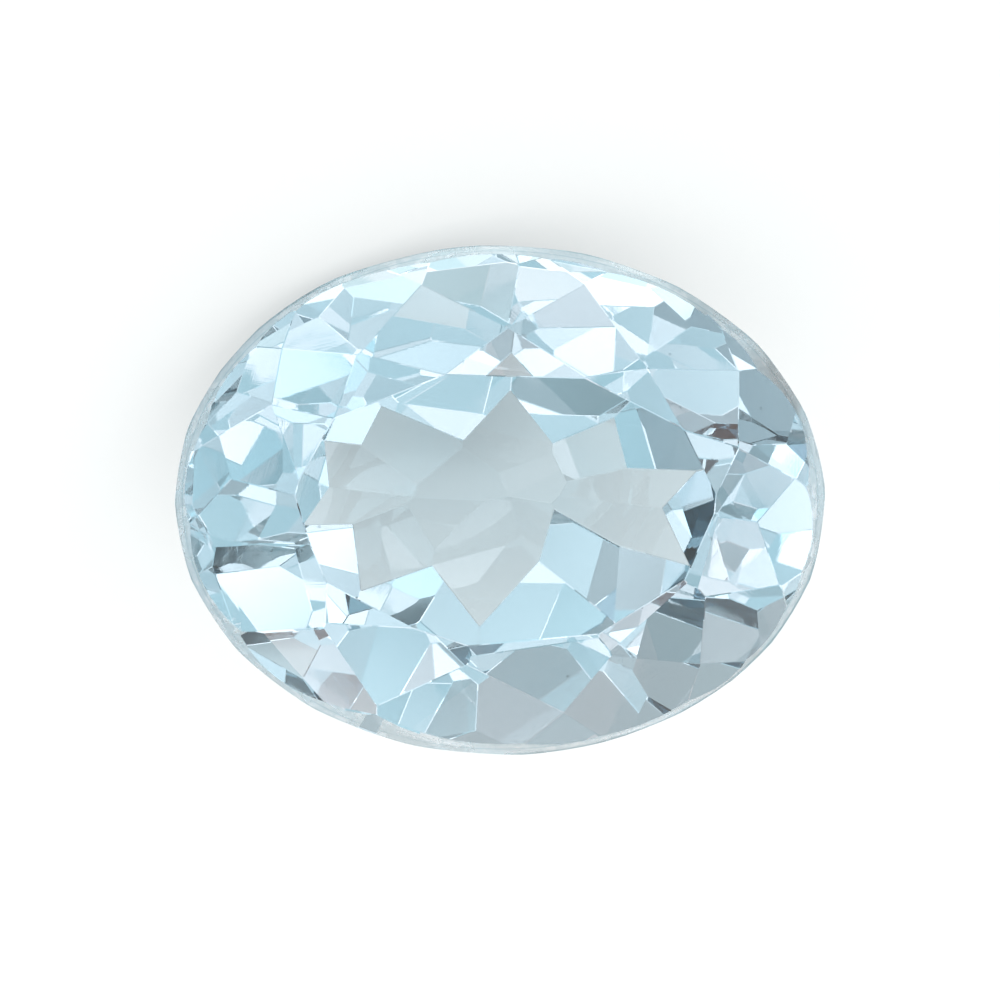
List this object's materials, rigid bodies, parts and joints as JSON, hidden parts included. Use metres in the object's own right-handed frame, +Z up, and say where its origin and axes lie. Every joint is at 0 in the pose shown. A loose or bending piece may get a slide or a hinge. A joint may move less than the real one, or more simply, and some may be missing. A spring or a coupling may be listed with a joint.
{
  "type": "oval cut aquamarine",
  "caption": "Oval faceted clear pale blue aquamarine with a flat table, a kite-faceted crown, a frosted girdle and a keeled pavilion, lying on one pavilion facet.",
  "frame": {"origin": "middle of the stone's footprint, at the level of the surface that it lies on", "axes": "+X level, along the table and as near to the oval's long axis as the pose allows, +Z up, and -Y toward the side that the table is tipped to"},
  "size_m": [0.0088, 0.0054, 0.0054],
  "materials": {
    "aquamarine": "polished clear facets, frosted girdle"
  },
  "bodies": {
    "root": {"cut_aquamarine": "aquamarine"}
  },
  "joints": []
}
